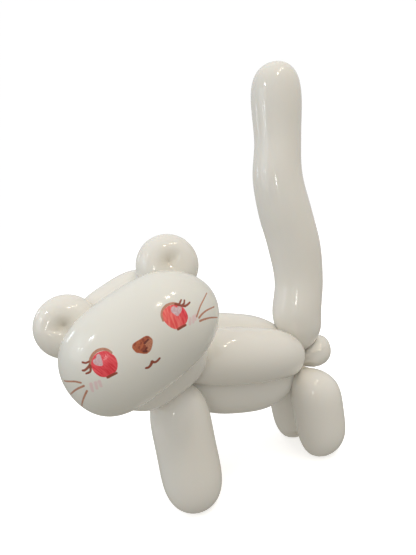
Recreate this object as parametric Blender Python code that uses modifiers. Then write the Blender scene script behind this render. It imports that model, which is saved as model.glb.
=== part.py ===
# Balloon cat sculpture: three white balloons twisted into bubbles.
# The cat faces -Y, its left side is +X, and it stands on four feet at z = 0.
# Metres, +Z up, origin at the middle of the footprint of the whole cat.

from math import acos, cos, pi, radians, sin, sqrt

import bmesh
import bpy
import numpy as np
from mathutils import Matrix, Vector

# Driving sizes in metres and degrees
GAP = 0.0003
TWIST_RADIUS = 0.0032
GATHER_RADIUS = 0.009

FRONT_LEG_RADIUS = 0.0256
FRONT_LEG_LENGTH = 0.116
FRONT_PAIR_TURN = 12
REAR_LEG_RADIUS = 0.0245
REAR_LEG_LENGTH = 0.089
LEG_PRESS = 0.001
FOOT_PRESS = 0.002
TWIST_DROP = 0.002

BODY_LENGTH = 0.137
TRUNK_RADIUS = 0.0271
TRUNK_PRESS = 0.0052
TRUNK_TURN = 25
TRUNK_LIFT = 0.0057

NECK_RADIUS = 0.015
NECK_LENGTH = 0.052
NECK_AIM = 0.6

TAIL_RADIUS = 0.0248
TAIL_LENGTH = 0.282
TAIL_SEAT = (0.24, 0.77)
RUMP_RADIUS = 0.0152
RUMP_LENGTH = 0.036
RUMP_SLANT = 8
RUMP_BOW = 0.0105

HEAD_TURN = 79.4
HEAD_NOD = 12
HEAD_ROLL = 23.7
HEAD_LEAN = 0.55
HEAD_REAR = 0.0085
HEAD_PRESS = 0.003
BACK_RADIUS = 0.0226
BACK_LENGTH = 0.104
BACK_SPREAD = 0.0322
KNOT_RISE = 0.15
KNOT_DEPTH = 0.85
EAR_RADIUS = 0.0239
EAR_THICKNESS = 0.0328
EAR_DIMPLE = 0.0045
DIMPLE_WIDTH = 0.8
FACE_RADIUS = 0.0385
FACE_LENGTH = 0.1212
FACE_BOW = 0.0045

# Places of the ears, as shares of the distance at which they would touch the face's round
# outline: along the face, up the brow and out of the face
FRONT_EAR = (-0.645, 0.642, -0.46)
REAR_EAR = (0.80, 0.585, -0.40)

# Free bends of the tail, as shares of its length: height, backward sway and swelling
TAIL_BENDS = (
    (0.00, 0.000, 1.000),
    (0.10, 0.002, 1.010),
    (0.26, 0.033, 1.015),
    (0.36, 0.031, 1.050),
    (0.45, 0.018, 1.090),
    (0.61, 0.006, 1.000),
    (0.76, 0.031, 0.950),
    (0.88, 0.044, 1.000),
    (1.00, 0.068, 1.000),
)

# Fullness of the bubbles' outlines: 2 is an egg, larger is a straighter tube
TRUNK_FULLNESS = 4.5
BACK_FULLNESS = 3.4
FACE_FULLNESS = 2.95
SMALL_FULLNESS = 2.4

# Mesh resolution
WELD = 2e-7
RINGS = 13
TAIL_RINGS = 25
SIDES_BEVEL = 7
HALF_FACET = pi / (2 * SIDES_BEVEL + 4)
FACE_SIDES_BEVEL = 10
POLE_ANGLE = 83
HIP_POLE_ANGLE = 85
EAR_STEPS = 22
EAR_ARC_POINTS = 9

UP = Vector((0, 0, 1))
LEFT = Vector((1, 0, 0))


def clear_scene():
    for old in list(bpy.data.objects):
        bpy.data.objects.remove(old, do_unlink=True)


def collection(name):
    made = bpy.data.collections.new(name)
    bpy.context.scene.collection.children.link(made)
    return made


def latex(name, colour, roughness):
    made = bpy.data.materials.new(name)
    made.use_nodes = True
    shader = made.node_tree.nodes["Principled BSDF"]
    shader.inputs["Base Color"].default_value = (*colour, 1)
    shader.inputs["Roughness"].default_value = roughness
    shader.inputs["Metallic"].default_value = 0
    made.diffuse_color = (*colour, 1)
    return made


def as_mesh(source, target):
    """Turns a curve, or an object with modifiers, into a closed mesh object of its own."""
    evaluated = source.evaluated_get(bpy.context.evaluated_depsgraph_get())
    mesh = bpy.data.meshes.new_from_object(evaluated)
    shape = bmesh.new()
    shape.from_mesh(mesh)
    bmesh.ops.remove_doubles(shape, verts=shape.verts, dist=WELD)
    bmesh.ops.dissolve_degenerate(shape, edges=shape.edges, dist=WELD)
    bmesh.ops.recalc_face_normals(shape, faces=shape.faces)
    shape.to_mesh(mesh)
    shape.free()
    made = bpy.data.objects.new(source.name + "_mesh", mesh)
    made.matrix_world = source.matrix_world.copy()
    target.objects.link(made)
    bpy.data.objects.remove(source, do_unlink=True)
    return made


def tube(name, stations, target, bevel, turn=0.0):
    """A tube with filled ends through stations of place and radius, its sides turned by turn."""
    curve = bpy.data.curves.new(name, "CURVE")
    curve.dimensions = "3D"
    curve.bevel_depth = 1
    curve.bevel_resolution = bevel
    curve.use_fill_caps = True
    spline = curve.splines.new("POLY")
    spline.points.add(len(stations) - 1)
    for point, (place, radius) in zip(spline.points, stations):
        point.co = (*place, 1)
        point.radius = radius
        point.tilt = turn
    source = bpy.data.objects.new(name, curve)
    target.objects.link(source)
    bpy.context.view_layer.update()
    return as_mesh(source, target)


def bubble_stations(start, end, radius, fullness, bow, grow, rings, pole_angle):
    """Stations of one bubble, with x from -1 to 1 between its ends.

    Its radius is radius * sqrt(1 - |x| ** fullness), and its middle line is moved by bow * (1 - x ** 4).
    """
    half = (end - start) / 2
    middle = (start + end) / 2
    stretch = 1 + grow / half.length
    stations = []
    for angle in np.radians(np.linspace(-pole_angle, pole_angle, rings)):
        along = sin(angle)
        place = middle + half * (along * stretch) + bow * (1 - along**4)
        stations.append((place, radius * sqrt(1 - abs(along) ** fullness) + grow))
    return stations


def capsule_fullness(length, radius):
    """Outline fullness that gives a tube of this length round ends of its own radius."""
    return length / radius


def pair_link(name, inside, twist, other_inside, target):
    """The gathered necks of two bubbles that meet at one twist."""
    stations = [(inside, GATHER_RADIUS), (twist, TWIST_RADIUS), (other_inside, GATHER_RADIUS)]
    return tube(name, stations, target, 2)


def end_centre(start, end, radius):
    """Middle of the round end at start."""
    return start + (end - start).normalized() * radius


def head_axes():
    """The head's axes: along the face to its rear ear, up across the brow, and out of the face."""
    turn, nod, roll = radians(HEAD_TURN), radians(HEAD_NOD), radians(HEAD_ROLL)
    out = Vector((sin(turn) * cos(nod), -cos(turn) * cos(nod), sin(nod)))
    level = UP.cross(out).normalized()
    rise = out.cross(level)
    along = level * cos(roll) + rise * sin(roll)
    return along, out.cross(along), out


def hips():
    """Front and rear twists of the body, set by the legs' lengths so that all feet reach z = 0."""
    front_height = FRONT_LEG_LENGTH + TWIST_DROP - FOOT_PRESS
    rear_height = REAR_LEG_LENGTH + TWIST_DROP - FOOT_PRESS
    run = sqrt(BODY_LENGTH**2 - (front_height - rear_height) ** 2)
    return Vector((0, 0, front_height)), Vector((0, run, rear_height))


def leg_line(hip, side, radius, length, turn):
    """Top and bottom poles of one leg, which presses against the other leg of its pair."""
    across = Vector((cos(radians(turn)), -sin(radians(turn)), 0)) * side
    top = hip + across * (radius - LEG_PRESS) - UP * TWIST_DROP
    return top, top - UP * length


def body_bubbles():
    """Every bubble of the body balloon: name, poles, radius, fullness, bow and twists."""
    front, rear = hips()
    spine = (rear - front).normalized()
    back_up = LEFT.cross(spine)
    bubbles = []
    for pair, hip, radius, length, turn in (
        ("front", front, FRONT_LEG_RADIUS, FRONT_LEG_LENGTH, FRONT_PAIR_TURN),
        ("rear", rear, REAR_LEG_RADIUS, REAR_LEG_LENGTH, 0),
    ):
        foot_twist = hip - UP * (length - radius / 2)
        for side in (1, -1):
            top, bottom = leg_line(hip, side, radius, length, turn)
            fullness = capsule_fullness(length, radius)
            name = pair + ("_left_leg" if side > 0 else "_right_leg")
            bubbles.append((name, top, bottom, radius, fullness, Vector(), (hip, foot_twist)))

    spread = (2 * TRUNK_RADIUS - 2 * TRUNK_PRESS) / sqrt(3)
    for count, name in enumerate(("trunk_left", "trunk_top", "trunk_belly")):
        angle = radians(TRUNK_TURN + 120 * count)
        bow = (LEFT * cos(angle) + back_up * sin(angle)) * spread + back_up * TRUNK_LIFT
        bubbles.append((name, front, rear, TRUNK_RADIUS, TRUNK_FULLNESS, bow, None))

    neck_end = front + neck_direction() * NECK_LENGTH
    bubbles.append(("neck", front, neck_end, NECK_RADIUS, SMALL_FULLNESS, Vector(), None))

    tail_foot = rear + Vector((0, *TAIL_SEAT)) * TRUNK_RADIUS
    slant = radians(RUMP_SLANT)
    rump_low = tail_foot + Vector((0, sin(slant), -cos(slant))) * RUMP_LENGTH
    rump_bow = Vector((0, RUMP_BOW, 0))
    bubbles.append(("rump", rump_low, tail_foot, RUMP_RADIUS, SMALL_FULLNESS, rump_bow, None))
    return bubbles, tail_foot


def neck_direction():
    """From the front twist to the groove between the two bubbles behind the face."""
    target = head_place(0, 0, back_depth() - BACK_RADIUS * NECK_AIM)
    return (target - hips()[0]).normalized()


def head_seat():
    """A point on the middle line of the lower back bubble, which rests on the front left leg."""
    along, brow, out = head_axes()
    leg = leg_line(hips()[0], 1, FRONT_LEG_RADIUS, FRONT_LEG_LENGTH, FRONT_PAIR_TURN)
    dome = end_centre(*leg, FRONT_LEG_RADIUS)
    lean = (brow + out * HEAD_LEAN).normalized()
    touch = FRONT_LEG_RADIUS + BACK_RADIUS - HEAD_PRESS
    return dome + lean * touch + along * HEAD_REAR


def face_centre():
    """The face presses against both back bubbles."""
    _, brow, out = head_axes()
    return head_seat() + brow * BACK_SPREAD - out * back_depth()


def head_place(along_part, brow_part, out_part):
    """A point of the head from its offsets along the face, up the brow and out of the face."""
    along, brow, out = head_axes()
    return face_centre() + along * along_part + brow * brow_part + out * out_part


def ear_knots():
    """The twists at the two ends of the head, where an ear and both back bubbles meet."""
    rise = BACK_SPREAD * KNOT_RISE
    depth = back_depth() * KNOT_DEPTH
    return [head_place(side * BACK_LENGTH / 2, rise, depth) for side in (-1, 1)]


def back_depth():
    """How far behind the face's middle the back bubbles run, so that they press against the face."""
    return -sqrt((FACE_RADIUS + BACK_RADIUS - HEAD_PRESS) ** 2 - BACK_SPREAD**2)


def ear_middles():
    """Middles of the ears, above and outside their knots."""
    reach = FACE_RADIUS + EAR_RADIUS
    return [head_place(*(share * reach for share in ear)) for ear in (FRONT_EAR, REAR_EAR)]


def head_bubbles():
    """The two back bubbles of the head balloon, which run from knot to knot."""
    knots = ear_knots()
    between = (knots[0] + knots[1]) / 2
    bubbles = []
    for name, side in (("back_top", 1), ("back_low", -1)):
        bow = head_place(0, BACK_SPREAD * side, back_depth()) - between
        bubbles.append((name, *knots, BACK_RADIUS, BACK_FULLNESS, bow, None))
    return bubbles


def make_bubble(kind, target, grow=0.0, sides_bevel=None):
    """Right-hand bubbles have other facets than left-hand ones, so that no edges coincide."""
    name, start, end, radius, fullness, bow, twists = kind
    right = "right" in name or "low" in name
    pole = POLE_ANGLE if twists else HIP_POLE_ANGLE
    stations = bubble_stations(start, end, radius, fullness, bow, grow, RINGS + right, pole)
    return tube(name, stations, target, sides_bevel or SIDES_BEVEL, HALF_FACET * right)


def make_pair_links(kinds, target):
    """The gathered necks at the hip and between the feet of each pair of legs."""
    lines = {kind[0]: kind for kind in kinds}
    for pair in ("front", "rear"):
        left = lines[pair + "_left_leg"]
        right = lines[pair + "_right_leg"]
        hip, feet = left[6]
        tops = [end_centre(leg[1], leg[2], leg[3]) for leg in (left, right)]
        bottoms = [end_centre(leg[2], leg[1], leg[3]) for leg in (left, right)]
        pair_link(pair + "_hip", tops[0], hip, tops[1], target)
        pair_link(pair + "_feet", bottoms[0], feet, bottoms[1], target)


def smooth_through(shares, values, wanted):
    """Smooth values at the wanted shares: a cubic between neighbours, with slopes from both sides."""
    shares, values, wanted = np.array(shares), np.array(values), np.array(wanted)
    slopes = np.gradient(values, shares)
    at = np.clip(np.searchsorted(shares, wanted, side="right") - 1, 0, len(shares) - 2)
    width = shares[at + 1] - shares[at]
    t = (wanted - shares[at]) / width
    start = (1 + 2 * t) * (1 - t) ** 2 * values[at] + t * (1 - t) ** 2 * width * slopes[at]
    stop = t * t * (3 - 2 * t) * values[at + 1] + t * t * (t - 1) * width * slopes[at + 1]
    return start + stop


def tail_stations(foot):
    """The tail rises from its foot with free bends, and both its ends are round."""
    heights, sways, swells = zip(*TAIL_BENDS)
    angles = np.radians(np.linspace(-POLE_ANGLE, POLE_ANGLE, TAIL_RINGS))
    along = np.sin(angles)
    shares = (1 + along) / 2
    sway = smooth_through(heights, sways, shares) * TAIL_LENGTH
    swell = smooth_through(heights, swells, shares)
    fullness = capsule_fullness(TAIL_LENGTH, TAIL_RADIUS)
    radii = TAIL_RADIUS * swell * np.sqrt(1 - np.abs(along) ** fullness)
    return [
        (foot + Vector((0, y, share * TAIL_LENGTH)), radius)
        for y, share, radius in zip(sway, shares, radii)
    ]


def make_ear(name, middle, knot, target):
    """A turned ring of tube whose hole has closed to a dimple on each side."""
    tube_radius = EAR_THICKNESS / 2
    ring_radius = EAR_RADIUS - tube_radius
    inner_angle = acos((DIMPLE_WIDTH - 1) * ring_radius / tube_radius)
    points = [(0.0, tube_radius - EAR_DIMPLE)]
    for angle in np.linspace(inner_angle, -inner_angle, EAR_ARC_POINTS):
        points.append((ring_radius + tube_radius * cos(angle), tube_radius * sin(angle)))
    points.append((0.0, EAR_DIMPLE - tube_radius))
    mesh = bpy.data.meshes.new(name)
    places = [(x, 0, z) for x, z in points]
    mesh.from_pydata(places, [(n, n + 1) for n in range(len(places) - 1)], [])
    turned = bpy.data.objects.new(name, mesh)
    target.objects.link(turned)
    axes = Matrix(head_axes()).transposed()
    turned.matrix_world = Matrix.Translation(middle) @ axes.to_4x4()
    screw = turned.modifiers.new("turn", "SCREW")
    screw.steps = EAR_STEPS
    screw.render_steps = EAR_STEPS
    screw.use_merge_vertices = True
    screw.merge_threshold = 1e-5
    bpy.context.view_layer.update()
    as_mesh(turned, target)
    past = knot + (knot - middle).normalized() * TWIST_RADIUS
    tube(name + "_stem", [(middle, ring_radius * 2), (past, TWIST_RADIUS)], target, 4)


def boolean(piece, operation, tools):
    cut = piece.modifiers.new(tools.name, "BOOLEAN")
    cut.operation = operation
    cut.solver = "EXACT"
    cut.operand_type = "COLLECTION"
    cut.collection = tools


def joined(piece, joins, cuts, target):
    """The piece with everything in joins added, everything in cuts taken away, as one mesh."""
    boolean(piece, "UNION", joins)
    boolean(piece, "DIFFERENCE", cuts)
    bpy.context.view_layer.update()
    made = as_mesh(piece, target)
    for tools in (joins, cuts):
        for tool in list(tools.objects):
            bpy.data.objects.remove(tool, do_unlink=True)
        bpy.data.collections.remove(tools)
    return made


def ground(target):
    """A block under z = 0 that presses each foot flat."""
    deep = 2 * FRONT_LEG_RADIUS
    bpy.ops.mesh.primitive_cube_add(size=1, location=(0, BODY_LENGTH / 2, -deep / 2))
    block = bpy.context.object
    block.name = "ground"
    block.scale = (3 * deep, BODY_LENGTH + 3 * deep, deep)
    for old in block.users_collection:
        old.objects.unlink(block)
    target.objects.link(block)
    bpy.context.view_layer.update()
    return block


def finish(piece, name, material, target):
    """Gives a node its name, collection, material and smooth shading."""
    piece.name = name
    piece.data.name = name
    for old in piece.users_collection:
        old.objects.unlink(piece)
    target.objects.link(piece)
    piece.data.materials.clear()
    piece.data.materials.append(material)
    piece.data.shade_smooth()


def footprint_shift(pieces):
    """The move that brings the middle of the pieces' common footprint to x = 0, y = 0."""
    corners = [Vector(corner) for piece in pieces for corner in piece.bound_box]
    middle = [
        (min(corner[axis] for corner in corners) + max(corner[axis] for corner in corners)) / 2
        for axis in (0, 1)
    ]
    return Vector((-middle[0], -middle[1], 0))


def main():
    clear_scene()
    cat = collection("balloon_cat")
    body_tools = collection("body_joins")
    head_tools = collection("head_joins")
    foot_tools = collection("foot_cut")
    head_cuts = collection("head_clearance")

    body_kinds, tail_foot = body_bubbles()
    body = make_bubble(body_kinds[0], cat)
    for kind in body_kinds[1:]:
        make_bubble(kind, body_tools)
    make_pair_links(body_kinds, body_tools)
    tube("tail", tail_stations(tail_foot), body_tools, SIDES_BEVEL)
    ground(foot_tools)

    head_kinds = head_bubbles()
    head = make_bubble(head_kinds[0], cat)
    make_bubble(head_kinds[1], head_tools)
    for name, middle, knot in zip(("front_ear", "rear_ear"), ear_middles(), ear_knots()):
        make_ear(name, middle, knot, head_tools)

    face_ends = [head_place(side * FACE_LENGTH / 2, 0, -FACE_BOW) for side in (-1, 1)]
    face_bow = head_place(0, 0, FACE_BOW) - face_centre()
    face_kind = ("face", *face_ends, FACE_RADIUS, FACE_FULLNESS, face_bow, None)
    face = make_bubble(face_kind, cat, 0.0, FACE_SIDES_BEVEL)
    make_bubble(face_kind, head_cuts, GAP, FACE_SIDES_BEVEL)
    for kind in body_kinds:
        if kind[0] in ("front_left_leg", "front_right_leg", "trunk_left", "trunk_top", "neck"):
            make_bubble(kind, head_cuts, GAP)

    body = joined(body, body_tools, foot_tools, cat)
    head = joined(head, head_tools, head_cuts, cat)
    white = latex("white_latex", (0.86, 0.84, 0.79), 0.28)
    finish(body, "body_balloon", white, cat)
    finish(head, "head_balloon", latex("white_latex_head", (0.87, 0.85, 0.80), 0.28), cat)
    finish(face, "face_balloon", latex("white_latex_face", (0.89, 0.87, 0.82), 0.24), cat)

    stand = bpy.data.objects.new("stand_point", None)
    cat.objects.link(stand)
    stand.location = footprint_shift((body, head, face))
    for piece in (body, head, face):
        piece.parent = stand
    bpy.context.view_layer.update()


main()
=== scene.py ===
import bpy
import numpy as np
from mathutils import Matrix


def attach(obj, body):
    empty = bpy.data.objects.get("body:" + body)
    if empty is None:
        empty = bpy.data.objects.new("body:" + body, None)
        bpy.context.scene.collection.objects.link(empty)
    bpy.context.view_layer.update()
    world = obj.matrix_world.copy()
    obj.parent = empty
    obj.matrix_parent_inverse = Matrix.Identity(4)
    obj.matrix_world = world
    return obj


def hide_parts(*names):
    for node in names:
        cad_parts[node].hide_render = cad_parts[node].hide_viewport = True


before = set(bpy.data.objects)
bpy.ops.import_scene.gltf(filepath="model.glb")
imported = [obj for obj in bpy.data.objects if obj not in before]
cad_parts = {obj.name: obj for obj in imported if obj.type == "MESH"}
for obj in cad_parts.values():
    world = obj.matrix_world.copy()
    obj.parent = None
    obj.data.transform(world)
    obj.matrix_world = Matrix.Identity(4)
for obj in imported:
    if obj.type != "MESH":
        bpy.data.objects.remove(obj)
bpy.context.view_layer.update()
mm = 0.001
print("frame loaded:", sorted(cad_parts))


# a vector divided by its own length
def unit(vector):
    vector = np.asarray(vector, float)
    return vector / np.linalg.norm(vector)


# the smaller of two values, rounded over where they meet: -k log(exp(-a/k) + exp(-b/k))
def softMin(a, b, k):
    return -k * np.logaddexp(-a / k, -b / k)


# the larger of two values, rounded over where they meet: k log(exp(a/k) + exp(b/k))
def softMax(a, b, k):
    return k * np.logaddexp(a / k, b / k)


# values at new places by a cubic between each two neighbours, with the slope there taken from both sides
def throughPoints(places, values, wanted):
    places, values = np.asarray(places, float), np.asarray(values, float)
    slopes = np.gradient(values, places)
    n = np.clip(np.searchsorted(places, wanted, side="right") - 1, 0, len(places) - 2)
    width = places[n + 1] - places[n]
    x = (wanted - places[n]) / width
    left = (1 + 2 * x) * (1 - x) ** 2 * values[n] + x * (1 - x) ** 2 * width * slopes[n]
    return left + x * x * (3 - 2 * x) * values[n + 1] + x * x * (x - 1) * width * slopes[n + 1]


# how finely skins are worked out: points on a middle line, how far the rays fan out and reach, and their halvings
castPlan = dict(lineSteps=2401, endInset=0.95, endSpacing=1.25, ringSpacing=0.85, reach=2.4, halvings=18)


# A bubble stands on the chord between its two poles. With t from -1 to 1 along the chord and r the distance
# from the bent middle line, its skin is where |t|^p + (r / R)^2 = 1. The middle line bends by bow * (1 - t^4), or by
# the function bend of t. R is the radius times swell(t), and times skew(t, direction) where that is given.
def makeBubble(start, end, radius, fullness, bow=(0, 0, 0), bend=None, swell=None, skew=None, twists=(None, None),
               front=None):
    start, end = np.array(start, float), np.array(end, float)
    half = np.linalg.norm(end - start) / 2
    axis = (end - start) / (2 * half)
    shares = np.linspace(-1, 1, castPlan["lineSteps"])
    offsets = np.outer(1 - shares ** 4, bow) if bend is None else np.array(bend(shares))
    offsets = offsets - np.outer(offsets @ axis, axis)
    swells = np.ones(len(shares)) if swell is None else swell(shares)
    # any direction across the chord will do, unless the front is given
    side = unit(np.cross(axis, (0.31, 0.05, 0.95) if abs(axis[2]) < 0.8 else (1, 0.02, 0.03)))
    if front is not None:
        side = unit(front - (front @ axis) * axis)
    return dict(half=half, axis=axis, middle=(start + end) / 2, radius=radius, fullness=fullness, shares=shares,
                offsets=offsets, swells=swells, skew=skew, twists=twists, side=side)


# the bent middle line at t
def middleLine(shape, t):
    bent = np.stack([np.interp(t, shape["shares"], shape["offsets"][:, n]) for n in range(3)], -1)
    return shape["middle"] + np.multiply.outer(t * shape["half"], shape["axis"]) + bent


# (sqrt(g) - 1) over its own slope, with g = |t|^p + (r / R)^2, which is close to the distance from the skin
def bubbleDepth(shape, points):
    rel = points - shape["middle"]
    t = np.clip(rel @ shape["axis"] / shape["half"], -1.5, 1.5)
    across = points - middleLine(shape, t)
    across = across - np.multiply.outer(across @ shape["axis"], shape["axis"])
    reach = np.linalg.norm(across, axis=-1)
    radius = shape["radius"] * np.interp(t, shape["shares"], shape["swells"])
    if shape["skew"] is not None:
        radius = radius * shape["skew"](t, across / np.maximum(reach, 1e-6)[..., None])
    p = shape["fullness"]
    g = np.abs(t) ** p + (reach / radius) ** 2
    slope = np.hypot(p * np.abs(t) ** (p - 1) / shape["half"], 2 * reach / radius ** 2)
    root = np.sqrt(np.maximum(g, 1e-9))
    return (root - 1) * np.minimum(2 * root / np.maximum(slope, 1e-9), 2 * shape["radius"])


# distance from the ring circle minus the tube's radius, less a round dimple and a fold, each exp(-(distance / width)^2)
# deep; the fold falls off slowly on one side and fast on the other
def ringDepth(shape, points):
    rel = points - shape["middle"]
    local = rel @ shape["frame"].T
    q = np.hypot(local[..., 0], local[..., 1])
    away = np.hypot(q - shape["ring"], local[..., 2]) - shape["tube"]
    deep, wide, x, y = shape["dimple"]
    away = away + deep * np.exp(-((local[..., 0] - x) ** 2 + (local[..., 1] - y) ** 2) / wide ** 2)
    deep, x, y, lean, long, slow, fast = shape["fold"]
    c, s = np.cos(np.radians(lean)), np.sin(np.radians(lean))
    run = (local[..., 0] - x) * c + (local[..., 1] - y) * s
    side = (local[..., 1] - y) * c - (local[..., 0] - x) * s
    width = np.where(side < 0, slow, fast)
    return away + deep * np.exp(-(run / long) ** 2 - (side / width) ** 2)


# a ring's depth for an ear, and a bubble's for all else
def depthOf(shape, points):
    return ringDepth(shape, points) if "ring" in shape else bubbleDepth(shape, points)


# a funnel of latex from inside the bubble to its twist: its radius falls with the square of the way left
def funnelDepth(points, inside, twist, wide, narrow):
    line = twist - inside
    way = np.clip((points - inside) @ line / (line @ line), 0, 1)
    away = np.linalg.norm(points - inside - np.multiply.outer(way, line), axis=-1)
    return away - (narrow + (wide - narrow) * (1 - way) ** 2)


# how skins meet and gather, in millimetres, and in radians from the pole for the reaches
latexCloth = dict(overlap=2.8, crease=0.5, funnelWide=0.62, funnelNarrow=2.6, funnelBlend=3.0, pleats=11,
                  pleatDepth=0.55, pleatWaver=(0.9, 0.6), pleatReach=0.42, pleatStart=0.05, pleatFull=12,
                  ringPleats=0.12, tightReach=0.5)


# spacing from 0 to 1 that is closer at both ends: half of 1 + |2 x - 1|^0.85, with the sign of 2 x - 1
def smoothlySpaced(count):
    x = (np.arange(count) + 0.5) / count
    return 0.5 + 0.5 * np.sign(2 * x - 1) * np.abs(2 * x - 1) ** castPlan["ringSpacing"]


# Rays leave the middle line, fan out over both round ends, and stop where the bubble ends or where a neighbour
# presses against it: at the far side of softMax(own depth, own depth - neighbour's depth - overlap). The overlap hides
# the fold where a skin turns into the contact, so a clean groove is left. No skin goes below the table.
def castSkin(shape, neighbours, domeRings, barrelRings, sides, bunch=0.0):
    isRing = "ring" in shape
    if isRing:
        widest = shape["ring"] + shape["tube"]
        polar = np.pi * smoothlySpaced(2 * domeRings)
        origins = np.repeat(shape["middle"][None, :], len(polar), 0)
        axis, first = shape["frame"][2], shape["frame"][0]
        poles = (-axis, axis)
    else:
        widest = shape["radius"]
        axis, first = shape["axis"], shape["side"]
        inset = np.clip(1 - castPlan["endInset"] * shape["radius"] / shape["half"], 0, 1)
        dome = (np.arange(1, domeRings + 1) / domeRings) ** castPlan["endSpacing"] * np.pi / 2
        polar = np.concatenate([dome, np.full(barrelRings, np.pi / 2), np.pi - dome[::-1]])
        stations = np.concatenate([np.full(domeRings, -inset), inset * np.linspace(-1, 1, barrelRings + 2)[1:-1],
                                   np.full(domeRings, inset)])
        origins = middleLine(shape, stations)
        ends = middleLine(shape, np.array([-inset, inset]))
        poles = [unit(twist - end) if twist is not None else sign * axis
                 for twist, end, sign in zip(shape["twists"], ends, (-1, 1))]
    second = np.cross(axis, first)
    around = 2 * np.pi * np.arange(sides) / sides
    around = around - bunch * np.sin(around)     # closer together on the front
    ring = np.cos(around)[:, None] * first + np.sin(around)[:, None] * second
    directions = -np.cos(polar)[:, None, None] * axis + np.sin(polar)[:, None, None] * ring
    lean = np.maximum(np.cos(polar), 0)[:, None, None] ** 2 * (poles[0] + axis)
    lean = lean + np.maximum(-np.cos(polar), 0)[:, None, None] ** 2 * (poles[1] - axis)
    directions = directions + lean
    directions /= np.linalg.norm(directions, axis=-1, keepdims=True)
    starts = np.broadcast_to(origins[:, None, :], directions.shape)

    # the two poles are rays of their own
    starts = np.concatenate([starts.reshape(-1, 3), origins[:1], origins[-1:]])
    directions = np.concatenate([directions.reshape(-1, 3), [poles[0]], [poles[1]]])

    def inside(points):
        own = depthOf(shape, points)
        skin = own
        for other in neighbours:
            skin = softMax(skin, own - depthOf(other, points) - latexCloth["overlap"], latexCloth["crease"])
        if not isRing:
            for twist, end in zip(shape["twists"], ends):
                if twist is not None:
                    wide = latexCloth["funnelWide"] * shape["radius"]
                    funnel = funnelDepth(points, end, twist, wide, latexCloth["funnelNarrow"])
                    skin = softMin(skin, funnel, latexCloth["funnelBlend"])
        return softMax(skin, -points[..., 2], latexCloth["crease"])

    near = np.zeros(len(starts))
    far = np.full(len(starts), castPlan["reach"] * widest)
    for _ in range(castPlan["halvings"]):
        half = (near + far) / 2
        within = inside(starts + half[:, None] * directions) < 0
        near, far = np.where(within, half, near), np.where(within, far, half)
    reach = (near + far) / 2

    # Pleats run into each twist: a wavering cosine round the pole that fades over the first part of the dome, each
    # exp(-(angle / reach)^2) deep. The latex is tight there in the same way.
    angle = np.append(np.repeat(polar, sides), (0, np.pi))
    turn = np.append(np.tile(around, len(polar)), (0, 0))
    twice, thrice = latexCloth["pleatWaver"]
    wave = 0.5 - 0.5 * np.cos(latexCloth["pleats"] * turn + twice * np.sin(2 * turn) + thrice * np.sin(3 * turn))
    creases, tight = np.zeros(len(angle)), np.zeros(len(angle))
    for pole, fromPole in enumerate((angle, np.pi - angle)):
        if isRing or shape["twists"][pole] is not None:
            started = 1 - np.exp(-(fromPole / latexCloth["pleatStart"]) ** 2)
            creases += np.exp(-(fromPole / latexCloth["pleatReach"]) ** 2) * started
            tight = np.maximum(tight, np.exp(-(fromPole / latexCloth["tightReach"]) ** 2))
    if isRing:
        creases *= latexCloth["ringPleats"]
    full = np.minimum(1, reach / latexCloth["pleatFull"])
    reach = reach - latexCloth["pleatDepth"] * creases * wave * full
    skin = starts + reach[:, None] * directions
    return dict(grid=skin[:-2].reshape(len(polar), sides, 3), poles=skin[-2:], tight=tight,
                around=np.append(around, 2 * np.pi) / (2 * np.pi))


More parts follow.
